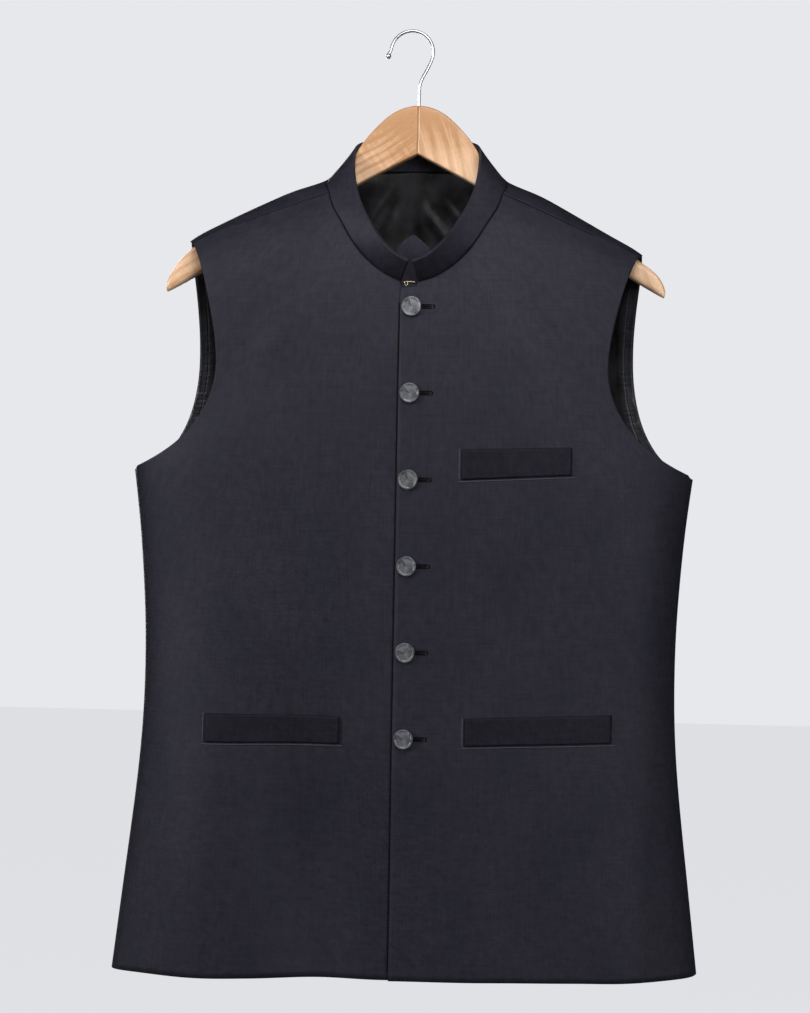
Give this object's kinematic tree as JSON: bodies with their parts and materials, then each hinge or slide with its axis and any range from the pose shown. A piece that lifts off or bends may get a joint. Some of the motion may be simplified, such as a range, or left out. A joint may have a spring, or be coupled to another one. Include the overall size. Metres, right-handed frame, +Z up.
{
  "type": "waistcoat on a hanger",
  "caption": "Sleeveless jacket with a stand collar and welt pockets, buttoned to the neck and hanging on a contoured wooden hanger with a wire hook.",
  "frame": {"origin": "seat under the top of the hanger's hook, on the axis of its shank, where a rail or a wall hook carries it", "axes": "+Z up along the shank, +X to the viewer's right as the front is seen, which is the wearer's left, and the front faces -Y"},
  "size_m": [0.527, 0.1162, 0.8519],
  "materials": {
    "worsted": "matt charcoal worsted suiting",
    "satin": "black satin lining",
    "button": "smoke grey, faintly pearly",
    "brass": "bright wire",
    "wood": "pale wood under a satin varnish",
    "steel": "polished wire"
  },
  "bodies": {
    "root": {"front_right": "worsted", "front_left": "worsted", "back": "worsted", "back_lining": "satin", "collar": "worsted", "neck_stay": "worsted", "chest_welt": "worsted", "pocket_welt_right": "worsted", "pocket_welt_left": "worsted", "button_1": "button", "button_2": "button", "button_3": "button", "button_4": "button", "button_5": "button", "button_6": "button", "hook_and_eye": "brass", "hanger_arm_right": "wood", "hanger_arm_left": "wood", "hanger_hook": "steel"}
  },
  "joints": []
}
